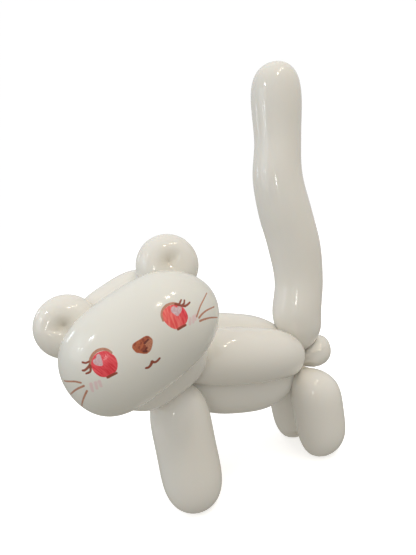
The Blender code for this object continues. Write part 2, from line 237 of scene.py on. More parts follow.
# Quads between neighbouring rings and a fan at each pole, all facing outwards, for every skin in one mesh.
def skinsToMesh(name, skins):
    points, quads, fans, maps, fanMaps, tight = [], [], [], [], [], []
    base = 0
    for skin in skins:
        rings, sides, _ = skin["grid"].shape
        points.append(skin["grid"].reshape(-1, 3))
        points.append(skin["poles"])
        tight.append(skin["tight"])
        i, j = np.meshgrid(np.arange(rings - 1), np.arange(sides), indexing="ij")
        i, j = i.ravel(), j.ravel()
        k = (j + 1) % sides
        quads.append(base + np.stack([i * sides + j, i * sides + k, (i + 1) * sides + k, (i + 1) * sides + j], -1))
        length = np.append(0, np.cumsum(np.linalg.norm(np.diff(skin["grid"].mean(1), axis=0), axis=1)))
        around = np.linalg.norm(skin["grid"][rings // 2] - skin["grid"][rings // 2].mean(0), axis=1).mean() * 2 * np.pi
        u = lambda n: np.interp(n, np.arange(sides + 1), skin["around"]) * around * mm
        v = lambda n: length[n] * mm
        maps.append(np.stack([np.stack([u(j), v(i)], -1), np.stack([u(j + 1), v(i)], -1),
                              np.stack([u(j + 1), v(i + 1)], -1), np.stack([u(j), v(i + 1)], -1)], 1))
        n = np.arange(sides)
        m = (n + 1) % sides
        first, last = base + rings * sides, base + rings * sides + 1
        low = np.stack([np.full(sides, first), base + m, base + n], -1)
        high = np.stack([np.full(sides, last), base + (rings - 1) * sides + n, base + (rings - 1) * sides + m], -1)
        fans.append(np.concatenate([low, high]))
        z = np.zeros(sides)
        lowMap = np.stack([np.stack([u(n + 0.5), z], -1), np.stack([u(n + 1), z], -1), np.stack([u(n), z], -1)], 1)
        highMap = np.stack([np.stack([u(n + 0.5), z], -1), np.stack([u(n), z], -1), np.stack([u(n + 1), z], -1)], 1)
        highMap[..., 1] = v(rings - 1)
        fanMaps.append(np.concatenate([lowMap, highMap]))
        base += rings * sides + 2
    points = np.concatenate(points) * mm
    quads, fans = np.concatenate(quads), np.concatenate(fans)
    mesh = bpy.data.meshes.new(name)
    mesh.vertices.add(len(points))
    mesh.vertices.foreach_set("co", points.ravel())
    mesh.loops.add(quads.size + fans.size)
    mesh.loops.foreach_set("vertex_index", np.concatenate([quads.ravel(), fans.ravel()]).astype(np.int32))
    mesh.polygons.add(len(quads) + len(fans))
    begins = np.concatenate([np.arange(len(quads)) * 4, quads.size + np.arange(len(fans)) * 3])
    mesh.polygons.foreach_set("loop_start", begins.astype(np.int32))
    mesh.polygons.foreach_set("use_smooth", np.ones(len(begins), bool))
    mesh.update(calc_edges=True)
    skinMap = mesh.uv_layers.new(name="skinMap")
    flat = np.concatenate([np.concatenate(maps).reshape(-1, 2), np.concatenate(fanMaps).reshape(-1, 2)])
    skinMap.data.foreach_set("uv", flat.ravel())
    setAttribute(mesh, "tight", np.concatenate(tight))
    mesh.validate()
    made = bpy.data.objects.new(name, mesh)
    bpy.context.scene.collection.objects.link(made)
    print(name, len(points), "points,", len(begins), "faces")
    return made


# one number kept at each vertex
def setAttribute(mesh, name, values):
    layer = mesh.attributes.new(name, "FLOAT", "POINT")
    layer.data.foreach_set("value", np.asarray(values, np.float32))


# millimetres, x to the cat's left, y to its tail, z up from the table
frontHip, rearHip = np.array((-31.7, -36.1, 116.0)), np.array((-31.7, 98.2, 89.0))

pictureLevel = np.array([0.366, 0.931, 0])     # level in the picture: along the body and a little to its left

frontLegPlan = dict(radius=26.4, top=114.0, turn=12.0, fullness=3.62, lean=(-0.3, 2.3), bow=-0.75,
                    swell=(1.0, 0.018, 0.116), press=1.8, sink=2.0, feetTie=0.5)
rearLegPlan = dict(radius=24.5, top=87.0, turn=0.0, fullness=3.4, lean=(-5.0, -4.0), bow=5.8,
                   swell=(1.0, -0.029, 0.0), press=1.0, sink=2.0, feetTie=0.5)


# Two legs side by side from one hip: upright chords a radius from the plane between them, leaning and bowed along
# the picture's level line, and swelling by a + b t + c t^2. The twist between their feet is at a share of the radius
# over the table.
def makeLegs(hip, plan):
    turn = np.radians(plan["turn"])
    across = np.array([np.cos(turn), -np.sin(turn), 0])
    feetTwist = np.array([hip[0], hip[1] + plan["lean"][1], plan["radius"] * plan["feetTie"]])
    a, b, c = plan["swell"]
    legs = []
    for side in (1, -1):
        stand = hip + across * side * (plan["radius"] - plan["press"])
        top = np.array([stand[0], stand[1], plan["top"]]) + pictureLevel * plan["lean"][0]
        bottom = np.array([stand[0], stand[1], -plan["sink"]]) + pictureLevel * plan["lean"][1]
        legs.append(makeBubble(top, bottom, plan["radius"], plan["fullness"], pictureLevel * plan["bow"],
                               swell=lambda t: a + b * t + c * t * t, twists=(hip, feetTwist)))
    return legs


trunkPlan = dict(turn=25.0, spread=25.3, sagShare=0.84,
                 left=dict(radius=26.0, lift=8.1, fullness=2.55, taper=-0.09, sag=2.8),
                 top=dict(radius=29.6, lift=6.0, fullness=3.4, taper=-0.19),
                 belly=dict(radius=24.2, lift=5.4, fullness=2.35, taper=0.05, sag=1.6))


# Three trunk bubbles bow away from the spine at thirds of a turn, and taper by 1 + taper t from hip to hip. A bubble
# with a sag is lowered by it times (1 + t)^2 (1 - t), most behind its middle; the share brings that to 1 at its most.
def makeTrunk(plan):
    spine = unit(rearHip - frontHip)
    backUp = np.cross((1, 0, 0), spine)
    bubbles = []
    for third, name in enumerate(("left", "top", "belly")):
        part = plan[name]
        angle = np.radians(plan["turn"] + 120 * third)
        bow = (np.array([1, 0, 0]) * np.cos(angle) + backUp * np.sin(angle)) * plan["spread"] + backUp * part["lift"]

        def bend(t, bow=bow, sag=part.get("sag", 0)):
            drop = plan["sagShare"] * sag * (1 + t) ** 2 * (1 - t)
            return np.outer(1 - t ** 4, bow) - np.outer(drop, backUp)

        bubbles.append(makeBubble(frontHip, rearHip, part["radius"], part["fullness"], bend=bend,
                                  swell=lambda t, taper=part["taper"]: 1 + taper * t, twists=(frontHip, rearHip)))
    return bubbles


neckPlan = dict(radius=15.0, end=(-17.3, -61.5, 159.0), fullness=2.4)
rumpPlan = dict(radius=18.2, low=(-31.7, 121.0, 79.5), high=(-31.7, 115.5, 114.0), bow=(0, 0.5, 0), fullness=2.2)
tailPlan = dict(radius=24.8, length=287.5, foot=(-31.7, 101.2, 101.6), fullness=9.0,
                bends=((0, .012, .95), (.07, .014, 1.02), (.126, .015, 1.03), (.25, .043, .985), (.38, .043, 1.06),
                       (.495, .026, 1.065), (.62, .016, .99), (.748, .038, .935), (.874, .0535, 1.04), (1, .065, 1.17)))


# The tail's middle line sways back by a share of its length at each height, and its radius swells along it.
def makeTail(plan):
    heights, sways, swells = np.array(plan["bends"]).T
    foot = np.array(plan["foot"])
    tip = foot + np.array([0, sways[-1], 1]) * plan["length"]

    def bend(t):
        sway = throughPoints(heights, sways, (1 + t) / 2) * plan["length"]
        straight = (1 + t) / 2 * (tip - foot)[1]
        return np.stack([0 * t, sway - straight, 0 * t], -1)

    def swell(t):
        return throughPoints(heights, swells, (1 + t) / 2)

    return makeBubble(foot, tip, plan["radius"], plan["fullness"], bend=bend, swell=swell, twists=(rearHip, None))


frontLeft, frontRight = makeLegs(frontHip, frontLegPlan)
rearLeft, rearRight = makeLegs(rearHip, rearLegPlan)
trunkLeft, trunkTop, trunkBelly = makeTrunk(trunkPlan)
neck = makeBubble(frontHip, neckPlan["end"], neckPlan["radius"], neckPlan["fullness"], twists=(frontHip, None))
rump = makeBubble(rumpPlan["low"], rumpPlan["high"], rumpPlan["radius"], rumpPlan["fullness"], rumpPlan["bow"],
                  twists=(rearHip, rearHip))
tail = makeTail(tailPlan)


headPose = dict(centre=(41.8, -71.9, 170.6), turn=79.4, nod=12.0, roll=23.7)


# along the face to its rear ear, up across the brow, and out of the face
def headAxes(pose):
    turn, nod, roll = np.radians([pose["turn"], pose["nod"], pose["roll"]])
    out = np.array([np.sin(turn) * np.cos(nod), -np.cos(turn) * np.cos(nod), np.sin(nod)])
    level = unit(np.cross((0, 0, 1), out))
    rise = np.cross(out, level)
    along = level * np.cos(roll) + rise * np.sin(roll)
    return np.stack([along, np.cross(out, along), out])


headFrame = headAxes(headPose)
headCentre = np.array(headPose["centre"])


# a place on the head from its offsets along the face, up the brow and out of the face
def onHead(offsets):
    return headCentre + np.asarray(offsets, float) @ headFrame


facePlan = dict(shift=1.2, half=61.3, radius=37.95, fullness=2.9, bow=4.2, browBow=1.1,
                lopsided=(-0.034, -0.101, -0.012, 0.033, -0.038))


# The face bubble is a little fuller towards the front ear: its radius is times 1 + a t + b t^3 + k (c + d t + e t^2),
# with k the share of the brow's direction.
def makeFace(plan):
    ends = [onHead((plan["shift"] + side * plan["half"], 0, -plan["bow"])) for side in (-1, 1)]
    a, b, c, d, e = plan["lopsided"]

    def skew(t, direction):
        k = direction @ headFrame[1]
        return 1 + a * t + b * t ** 3 + k * (c + d * t + e * t * t)

    bow = headFrame[2] * 2 * plan["bow"] + headFrame[1] * plan["browBow"]
    return makeBubble(*ends, plan["radius"], plan["fullness"], bow, skew=skew, front=headFrame[2])


backPlan = dict(knotHalf=52.0, knotRise=4.8, knotDepth=41.0, depth=-48.3,
                top=dict(radius=22.5, spread=31.3, fullness=2.7), low=dict(radius=22.7, spread=33.2, fullness=2.9))


# Two bubbles run side by side behind the face between the same two knots, one above and one below.
def makeBacks(plan):
    knots = [onHead((side * plan["knotHalf"], plan["knotRise"], -plan["knotDepth"])) for side in (-1, 1)]
    between = (knots[0] + knots[1]) / 2
    backs = []
    for name, side in (("top", 1), ("low", -1)):
        part = plan[name]
        bow = onHead((0, side * part["spread"], plan["depth"])) - between
        backs.append(makeBubble(*knots, part["radius"], part["fullness"], bow, twists=knots))
    return backs


frontEarPlan = dict(place=(-40.0, 39.9, -28.7), ring=7.9, tube=16.5, dimple=(0.65, 8.0, -1.2, -4.7),
                    fold=(1.15, -6.0, 0.6, 137.0, 7.5, 7.0, 2.2))
rearEarPlan = dict(place=(49.3, 35.8, -25.0), ring=7.4, tube=17.5, dimple=(0.55, 8.0, 4.0, 1.5),
                   fold=(1.1, 5.6, -0.6, 201.0, 5.0, 6.0, 2.0))


# An ear is a ring that closes on itself, with a dimple where its two ends are tied.
def makeEar(plan):
    return dict(plan, middle=onHead(plan["place"]), frame=headFrame)


face = makeFace(facePlan)
backTop, backLow = makeBacks(backPlan)
frontEar, rearEar = makeEar(frontEarPlan), makeEar(rearEarPlan)

# each with its neighbours, the rings on each round end, the rings between, and the points round each ring
bodySkins = [
    castSkin(frontLeft, [frontRight, trunkLeft, trunkBelly, neck], 30, 26, 96),
    castSkin(frontRight, [frontLeft, trunkTop, trunkBelly, neck], 26, 20, 80),
    castSkin(rearLeft, [rearRight, trunkLeft, trunkBelly, rump], 30, 22, 96),
    castSkin(rearRight, [rearLeft, trunkTop, trunkBelly, rump], 26, 20, 80),
    castSkin(trunkLeft, [trunkTop, trunkBelly, frontLeft, rearLeft, tail, rump, neck], 30, 34, 96),
    castSkin(trunkTop, [trunkLeft, trunkBelly, frontRight, rearRight, tail, rump, neck], 28, 30, 88),
    castSkin(trunkBelly, [trunkLeft, trunkTop, frontLeft, frontRight, rearLeft, rearRight], 28, 30, 88),
    castSkin(neck, [trunkLeft, trunkTop, frontLeft, frontRight, backLow, backTop], 18, 6, 56),
    castSkin(rump, [trunkLeft, trunkTop, rearLeft, rearRight, tail], 22, 6, 72),
    castSkin(tail, [trunkLeft, trunkTop, rump], 26, 110, 88),
]
headSkins = [
    castSkin(backTop, [backLow, face, frontEar, rearEar, neck], 28, 30, 88),
    castSkin(backLow, [backTop, face, frontEar, rearEar, neck, frontLeft, trunkLeft], 28, 30, 88),
    castSkin(frontEar, [face, backTop, backLow], 40, 0, 120),
    castSkin(rearEar, [face, backTop, backLow], 40, 0, 120),
]
faceSkins = [castSkin(face, [backTop, backLow, frontEar, rearEar, frontLeft], 90, 80, 300, bunch=0.6)]
bodyBalloon = skinsToMesh("bodyBalloon", bodySkins)
headBalloon = skinsToMesh("headBalloon", headSkins)
faceBalloon = skinsToMesh("faceBalloon", faceSkins)
print("balloons cast")


# The marker drawing, in millimetres along the face and up the brow (and out of it, for strokes). An outline is the
# edge of a filled patch, and a stroke is its width at each end and the points it runs through.
redPatches = (
    ((-33.5, 4.5), (-33.8, 1.4), (-33.3, -1.2), (-32.5, -3.0), (-31.2, -4.5), (-29.3, -5.8), (-27.1, -6.5),
     (-24.6, -6.6), (-22.6, -6.0), (-20.7, -4.5), (-19.4, -2.6), (-18.6, -0.1), (-18.6, 2.2), (-19.3, 4.3),
     (-20.3, 6.5), (-21.8, 8.0), (-23.9, 9.0), (-26.2, 9.4), (-28.7, 9.1), (-30.9, 7.8), (-32.5, 6.2)),
    ((20.0, 6.7), (18.6, 4.5), (17.9, 2.1), (18.0, -0.5), (18.6, -2.9), (19.7, -5.1), (21.2, -6.6), (23.3, -7.4),
     (26.0, -7.8), (28.5, -7.2), (30.8, -5.9), (32.2, -4.2), (32.8, -2.1), (33.0, 0.4), (32.7, 2.4), (31.8, 4.0),
     (30.3, 5.7), (28.3, 7.2), (26.0, 8.1), (23.5, 8.2), (21.4, 7.7)),
)
palePatches = (
    ((-28.3, 7.3), (-27.3, 8.4), (-25.7, 8.6), (-25.2, 7.1), (-25.7, 5.1), (-26.3, 3.3), (-27.1, 1.5), (-28.1, 1.5),
     (-29.7, 2.7), (-30.7, 4.0), (-31.1, 5.7), (-30.7, 7.0), (-29.6, 7.4)),
    ((29.0, 4.3), (28.8, 5.5), (27.8, 6.4), (26.1, 6.1), (25.1, 4.8), (25.1, 3.2), (25.8, 1.4), (26.5, -0.4),
     (28.1, -0.1), (29.9, 0.5), (31.3, 1.5), (32.0, 2.7), (31.6, 4.0), (30.5, 4.6)),
)
nosePatches = (
    ((-7.1, 0.2), (-6.2, 1.2), (-4.9, 1.6), (-3.2, 1.6), (-1.0, 1.4), (1.3, 1.3), (3.1, 1.1), (4.3, 0.5), (5.0, -0.5),
     (5.5, -2.1), (5.4, -3.6), (4.3, -5.2), (2.6, -6.8), (0.9, -8.0), (-1.4, -8.4), (-2.4, -8.2), (-4.0, -7.0),
     (-5.6, -5.4), (-6.8, -4.2), (-7.3, -2.2), (-7.4, -0.8)),
)
noseThinPatches = (
    ((3.8, -1.6), (1.8, -2.0), (0.2, -2.6), (-0.4, -4.3), (-0.2, -6.0), (-1.1, -7.1), (-1.4, -9.2), (2.7, -9.4),
     (6.8, -5.3), (6.6, -1.0)),
)
darkStrokes = (
    (0.9, 0.9, ((-32.9, 8.0, 37.9), (-35.0, 8.4, 37.0), (-36.6, 10.0, 35.7))),
    (1.5, 0.9, ((-33.8, 5.9, 38.0), (-35.9, 5.3, 37.2), (-38.2, 5.2, 36.1), (-39.3, 5.9, 35.4))),
    (1.3, 0.9, ((-33.7, 5.2, 38.2), (-34.9, 3.2, 38.0), (-36.2, 2.5, 37.5), (-38.4, 3.0, 36.3))),
    (1.4, 1.2, ((-29.0, -6.3, 39.7), (-26.0, -6.7, 40.3), (-23.4, -7.2, 40.7))),
    (1.0, 0.8, ((32.0, 5.0, 37.6), (33.2, 5.9, 37.0), (34.8, 6.8, 36.1))),
    (1.1, 0.8, ((33.0, 3.7, 37.4), (34.8, 3.8, 36.5), (36.6, 5.5, 35.5))),
    (1.4, 0.8, ((34.0, 2.3, 37.0), (36.2, 1.9, 36.0), (38.7, 2.3, 34.6))),
    (1.5, 1.2, ((30.0, 6.6, 38.0), (32.4, 3.9, 37.6), (34.4, 1.9, 36.8))),
    (1.4, 1.1, ((22.2, -7.3, 39.7), (24.8, -7.6, 39.1), (27.6, -8.0, 38.2))),
    (1.1, 1.8, ((-7.5, -15.3, 38.9), (-6.2, -15.9, 38.6), (-4.5, -15.7, 38.7), (-2.8, -14.7, 39.1),
                (-2.3, -14.3, 39.2))),
    (1.3, 1.1, ((-2.3, -14.3, 39.2), (-1.2, -15.6, 38.6), (0.1, -15.9, 38.4), (1.5, -15.7, 38.5), (2.6, -15.4, 38.6))),
    (1.2, 1.0, ((0.9, 0.4, 42.0), (0.5, -0.9, 42.0))),     # darker dabs in the nose
    (1.4, 1.1, ((-0.7, -3.7, 41.8), (-1.6, -4.6, 41.8))),
    (1.2, 0.9, ((-2.5, -4.5, 41.8), (-3.5, -4.7, 41.7))),
    (0.7, 0.6, ((4.2, -0.5, 41.9), (3.2, 0.2, 41.9))),
    (0.9, 0.8, ((-3.4, -2.1, 41.9), (-4.1, -2.7, 41.8))),
    (0.7, 0.7, ((-1.1, -0.8, 42.0), (-1.8, -1.3, 42.0))),
    (0.8, 0.6, ((-4.2, 0.9, 41.9), (-5.4, 0.3, 41.8))),
)
brownStrokes = (
    (1.8, 1.3, ((-33.3, 5.9, 38.2), (-31.8, 8.1, 38.2), (-29.5, 9.7, 38.5), (-27.0, 10.5, 38.9), (-24.6, 10.4, 39.5),
                (-22.2, 9.5, 40.2), (-20.6, 8.1, 40.8), (-19.6, 6.4, 41.2), (-19.1, 4.7, 41.6))),
    (1.1, 1.6, ((17.5, 2.5, 41.2), (18.2, 5.0, 40.9), (19.8, 7.2, 40.4), (21.9, 8.6, 39.7), (24.7, 9.1, 39.0),
                (27.4, 8.6, 38.5), (29.5, 7.4, 38.0), (31.2, 5.6, 37.8))),
    (0.9, 0.5, ((37.1, -7.9, 34.4), (40.5, -5.6, 32.9), (44.7, -3.2, 30.1), (51.1, -0.6, 23.8), (54.2, 0.6, 19.6))),
    (1.1, 0.6, ((38.0, -9.5, 33.4), (41.7, -8.7, 31.2), (46.6, -8.8, 27.0), (53.2, -10.2, 18.4))),
    (1.2, 0.6, ((37.3, -11.5, 33.0), (40.9, -12.5, 30.3), (45.8, -14.5, 25.0), (51.5, -17.9, 14.3))),
    (1.0, 0.8, ((-44.5, 0.2, 32.3), (-48.3, 3.4, 28.1), (-54.8, 7.1, 16.8))),
    (1.1, 0.8, ((-44.0, -2.4, 32.7), (-50.0, -1.7, 26.4), (-56.8, -2.4, 13.6))),
    (1.1, 0.8, ((-44.3, -6.0, 32.0), (-49.4, -8.8, 26.1), (-56.7, -14.5, 6.8))),
)
noseStrokes = (
    (0.7, 1.2, ((3.4, -1.6, 42.0), (2.0, -1.9, 42.0), (0.4, -2.2, 42.1))),
    (1.0, 1.2, ((-3.0, -5.9, 41.7), (-2.2, -6.5, 41.6), (-1.4, -7.0, 41.5))),
    (0.9, 0.8, ((-0.2, -5.2, 41.7), (-0.9, -5.5, 41.7), (-1.5, -5.8, 41.7))),
)
blushStrokes = (
    (2.0, 1.6, ((-39.7, -3.9, 35.6), (-41.3, -7.9, 33.9))),
    (1.8, 1.5, ((-36.8, -4.8, 37.1), (-38.2, -8.1, 35.8))),
    (1.8, 1.5, ((-34.5, -5.4, 38.0), (-35.3, -8.3, 37.1))),
    (1.7, 1.9, ((30.5, -9.0, 37.0), (32.5, -6.4, 36.9))),
    (1.5, 1.8, ((33.1, -9.4, 35.9), (35.2, -6.7, 35.6))),
    (1.3, 1.6, ((35.2, -8.9, 35.0), (37.0, -6.7, 34.7))),
)
inkPlan = dict(spread=0.17, leftLean=-75.0, rightLean=-108.0, stretch=0.16, farAway=9.0, nearRun=30, browReach=30,
               strokeSteps=6, patchSteps=5, coralEnd=31, coralWidth=9, settleRounds=4, settleStep=0.01)


# Moves points along the slope of the face's depth until they lie on it.
def settle(points):
    small = inkPlan["settleStep"]
    for _ in range(inkPlan["settleRounds"]):
        depth = bubbleDepth(face, points)
        slope = np.stack([bubbleDepth(face, points + step) - depth for step in np.eye(3) * small], -1) / small
        points = points - depth[:, None] * slope / (slope ** 2).sum(-1, keepdims=True)
    return points


# The distance from the nearest stroke's edge: to each stroke's run of points, less half its width there.
def strokeDistance(places, strokes):
    nearest = np.full(len(places), inkPlan["farAway"])
    for first, last, points in strokes:
        points = np.array(points, float)
        shares = np.linspace(0, len(points) - 1, inkPlan["strokeSteps"] * len(points))
        run = np.stack([throughPoints(np.arange(len(points)), points[:, n], shares) for n in range(3)], -1) \
            if len(points) > 2 else points[0] + shares[:, None] * (points[1] - points[0])
        run = settle(onHead(run))
        halfWidth = np.linspace(first, last, len(run)) / 2 + inkPlan["spread"]
        close = np.flatnonzero(np.linalg.norm(places - run.mean(0), axis=1) < inkPlan["nearRun"])
        for n in range(len(run) - 1):
            step = run[n + 1] - run[n]
            rel = places[close] - run[n]
            share = np.clip(rel @ step / (step @ step), 0, 1)
            away = np.linalg.norm(rel - np.multiply.outer(share, step), axis=1)
            away = away - halfWidth[n] - share * (halfWidth[n + 1] - halfWidth[n])
            nearest[close] = np.minimum(nearest[close], away)
    return nearest


# The distance from the nearest patch's edge, less than 0 inside, found flat on the face's own two axes. A place is
# inside where a line from it crosses the outline an odd number of times.
def patchDistance(local, patches):
    nearest = np.full(len(local), inkPlan["farAway"])
    for outline in patches:
        edge = np.array(outline, float)
        count = len(edge)
        wrapped = np.concatenate([edge[-3:], edge, edge[:3]])
        shares = np.linspace(0, count, inkPlan["patchSteps"] * count, endpoint=False)
        edge = np.stack([throughPoints(np.arange(-3, count + 3), wrapped[:, n], shares) for n in range(2)], -1)
        away = np.full(len(local), np.inf)
        inside = np.zeros(len(local), bool)
        for here, there in zip(edge, np.roll(edge, -1, 0)):
            step = there - here
            rel = local - here
            share = np.clip(rel @ step / (step @ step), 0, 1)
            away = np.minimum(away, np.linalg.norm(rel - np.multiply.outer(share, step), axis=1))
            crosses = (here[1] > local[:, 1]) != (there[1] > local[:, 1])
            reach = here[0] + (local[:, 1] - here[1]) * step[0] / (step[1] if step[1] else 1e-9)
            inside ^= crosses & (local[:, 0] < reach)
        nearest = np.minimum(nearest, np.where(inside, -away, away))
    return nearest


# Every ink is kept on the face as its distance from each vertex, in millimetres.
def drawFace(piece):
    flat = np.zeros(len(piece.data.vertices) * 3)
    piece.data.vertices.foreach_get("co", flat)
    places = flat.reshape(-1, 3) / mm
    local = (places - headCentre) @ headFrame.T
    front = np.flatnonzero((local[:, 2] > 0) & (np.abs(local[:, 1]) < inkPlan["browReach"]))
    strokes = dict(darkInk=darkStrokes, brownInk=brownStrokes, noseLines=noseStrokes, blushInk=blushStrokes)
    patches = dict(redInk=redPatches, paleInk=palePatches, noseInk=nosePatches, noseThin=noseThinPatches)
    inks = {name: strokeDistance(places[front], lines) for name, lines in strokes.items()}
    inks.update({name: patchDistance(local[front, :2], edges) for name, edges in patches.items()})
    for name, values in inks.items():
        whole = np.full(len(places), inkPlan["farAway"])
        whole[front] = values
        setAttribute(piece.data, name, whole)
    lean = np.radians(np.where(local[:, 0] < 0, inkPlan["leftLean"], inkPlan["rightLean"]))
    along = local[:, 0] * np.cos(lean) + local[:, 1] * np.sin(lean)
    across = local[:, 1] * np.cos(lean) - local[:, 0] * np.sin(lean)
    coral = np.clip((inkPlan["coralEnd"] - local[:, 0]) / inkPlan["coralWidth"], 0, 1) * (local[:, 0] > 0)
    setAttribute(piece.data, "coral", coral)
    layer = piece.data.attributes.new("streaks", "FLOAT_VECTOR", "POINT")
    layer.data.foreach_set("vector", np.stack([along * inkPlan["stretch"], across, 0 * across], -1).ravel())


drawFace(faceBalloon)
print("face drawn")


# a material with its node tree and its one shader
def newMaterial(name):
    material = bpy.data.materials.new(name)
    material.use_nodes = True
    tree = material.node_tree
    return material, tree, tree.nodes["Principled BSDF"]


# a node with its settings
def addNode(tree, kind, **settings):
    node = tree.nodes.new(kind)
    for key, value in settings.items():
        setattr(node, key, value)
    return node


# a noise texture on some coordinates
def addNoise(tree, coords, scale, detail):
    noise = addNode(tree, "ShaderNodeTexNoise")
    noise.inputs["Scale"].default_value = scale
    noise.inputs["Detail"].default_value = detail
    tree.links.new(coords, noise.inputs["Vector"])
    return noise.outputs["Fac"]


# low to high of one value spread over two others
def addRange(tree, value, low, high, atLow, atHigh, smooth=False):
    node = addNode(tree, "ShaderNodeMapRange")
    if smooth:
        node.interpolation_type = "SMOOTHSTEP"
    tree.links.new(value, node.inputs["Value"])
    for name, number in (("From Min", low), ("From Max", high), ("To Min", atLow), ("To Max", atHigh)):
        node.inputs[name].default_value = number
    return node.outputs["Result"]


# one colour laid over another by a share; either may be three numbers or a link
def layColour(tree, share, under, over):
    node = addNode(tree, "ShaderNodeMix", data_type="RGBA")
    tree.links.new(share, node.inputs[0])
    for place, colour in ((6, under), (7, over)):
        if isinstance(colour, tuple):
            node.inputs[place].default_value = (*colour, 1)
        else:
            tree.links.new(colour, node.inputs[place])
    return node.outputs[2]


latexLook = dict(light=(0.84, 0.82, 0.77), cloudy=(0.815, 0.795, 0.745), dense=(0.68, 0.64, 0.555),
                 cloudScale=22, cloudDetail=3, cloudRange=(0.3, 0.7), roughness=(0.10, 0.155), subsurface=0.2,
                 subsurfaceRadius=(1.0, 0.75, 0.55), subsurfaceScale=0.003, coat=0.3, coatRoughness=0.07)


# White latex: a faint cloudy tint, yellower and denser where it is gathered, glossy with a slow change of gloss.
def makeLatex(name, look):
    material, tree, skin = newMaterial(name)
    coords = addNode(tree, "ShaderNodeTexCoord").outputs["Object"]
    cloud = addNoise(tree, coords, look["cloudScale"], look["cloudDetail"])
    tight = addNode(tree, "ShaderNodeAttribute", attribute_name="tight").outputs["Fac"]
    colour = layColour(tree, tight, layColour(tree, cloud, look["light"], look["cloudy"]), look["dense"])
    tree.links.new(colour, skin.inputs["Base Color"])
    gloss = addRange(tree, cloud, *look["cloudRange"], *look["roughness"])
    tree.links.new(gloss, skin.inputs["Roughness"])
    skin.inputs["Subsurface Weight"].default_value = look["subsurface"]
    skin.inputs["Subsurface Radius"].default_value = look["subsurfaceRadius"]
    skin.inputs["Subsurface Scale"].default_value = look["subsurfaceScale"]
    skin.inputs["Coat Weight"].default_value = look["coat"]
    skin.inputs["Coat Roughness"].default_value = look["coatRoughness"]
    return material, tree, skin, colour, gloss


inkLook = dict(redDeep=(0.72, 0.018, 0.038), redThin=(0.90, 0.095, 0.12), coralDeep=(0.84, 0.075, 0.07),
               coralThin=(0.95, 0.24, 0.20), pink=(0.62, 0.43, 0.46),
               pinkPale=(0.72, 0.60, 0.64), dark=(0.29, 0.048, 0.018), brown=(0.42, 0.15, 0.08),
               nose=(0.50, 0.13, 0.045), noseThin=(0.56, 0.23, 0.13), noseLine=(0.12, 0.012, 0.006),
               blush=(0.80, 0.50, 0.54), roughness=0.32, streakNoise=(0.85, 2.5), scribbleNoise=(900, 2),
               edgeNoise=(1400, 2), wear=0.3, brownSpan=(0.35, 0.65, 0.0, 1.0), redSpan=(0.36, 0.66, 0.0, 1.0),
               paleSpan=(0.4, 0.7, 0.0, 1.0), noseSpan=(0.35, 0.6, 0.55, 0.0))
# how soft each ink's edge is, in millimetres, and how much it covers
inkEdges = dict(blushInk=(0.5, 0.55), brownInk=(0.22, 0.92), redInk=(0.2, 1.0), paleInk=(0.3, 0.95),
                noseThin=(0.3, 1.0), noseInk=(0.2, 1.0), noseLines=(0.25, 0.9), darkInk=(0.22, 0.97))


# Marker on latex: each ink shows where its distance is under 0, with a worn edge and streaks of thin and thick ink.
# An ink's span turns the noise between its first two numbers into the share of the second colour.
def makeFaceLatex(name, look, ink):
    material, tree, skin, colour, gloss = makeLatex(name, look)
    streaks = addNode(tree, "ShaderNodeAttribute", attribute_name="streaks").outputs["Vector"]
    coords = addNode(tree, "ShaderNodeTexCoord").outputs["Object"]
    stroke = addNoise(tree, streaks, *ink["streakNoise"])
    scribble = addNoise(tree, coords, *ink["scribbleNoise"])
    edgeNoise = addNoise(tree, coords, *ink["edgeNoise"])

    # the share of an ink from its distance, moved in and out a little along the edge
    def inked(attribute):
        soft, strength = inkEdges[attribute]
        away = addNode(tree, "ShaderNodeAttribute", attribute_name=attribute).outputs["Fac"]
        worn = addNode(tree, "ShaderNodeMath", operation="MULTIPLY_ADD")
        tree.links.new(edgeNoise, worn.inputs[0])
        worn.inputs[1].default_value = ink["wear"]
        tree.links.new(away, worn.inputs[2])
        edge = ink["wear"] / 2
        return addRange(tree, worn.outputs[0], edge - soft, edge + soft, strength, 0.0, smooth=True)

    colour = layColour(tree, inked("blushInk"), colour, ink["blush"])
    brown = layColour(tree, addRange(tree, scribble, *ink["brownSpan"]), ink["brown"], ink["noseThin"])
    colour = layColour(tree, inked("brownInk"), colour, brown)
    coral = addNode(tree, "ShaderNodeAttribute", attribute_name="coral").outputs["Fac"]
    deep = layColour(tree, coral, ink["redDeep"], ink["coralDeep"])
    thin = layColour(tree, coral, ink["redThin"], ink["coralThin"])
    red = layColour(tree, addRange(tree, stroke, *ink["redSpan"]), deep, thin)
    redShare = inked("redInk")
    colour = layColour(tree, redShare, colour, red)
    pale = layColour(tree, addRange(tree, scribble, *ink["paleSpan"]), ink["pink"], ink["pinkPale"])
    colour = layColour(tree, inked("paleInk"), colour, pale)
    noseThin = layColour(tree, inked("noseThin"), ink["nose"], ink["noseThin"])
    nose = layColour(tree, addRange(tree, scribble, *ink["noseSpan"]), noseThin, ink["dark"])
    noseShare = inked("noseInk")
    colour = layColour(tree, noseShare, colour, nose)
    colour = layColour(tree, inked("noseLines"), colour, ink["noseLine"])
    colour = layColour(tree, inked("darkInk"), colour, ink["dark"])
    tree.links.new(colour, skin.inputs["Base Color"])
    shares = addNode(tree, "ShaderNodeMath", operation="MAXIMUM")
    tree.links.new(redShare, shares.inputs[0])
    tree.links.new(noseShare, shares.inputs[1])
    rough = addNode(tree, "ShaderNodeMix", data_type="FLOAT")
    tree.links.new(shares.outputs[0], rough.inputs[0])
    tree.links.new(gloss, rough.inputs[2])
    rough.inputs[3].default_value = ink["roughness"]
    tree.links.new(rough.outputs[0], skin.inputs["Roughness"])
    return material


latex = makeLatex("whiteLatex", latexLook)[0]
headLatex = makeLatex("whiteLatexHead", latexLook)[0]
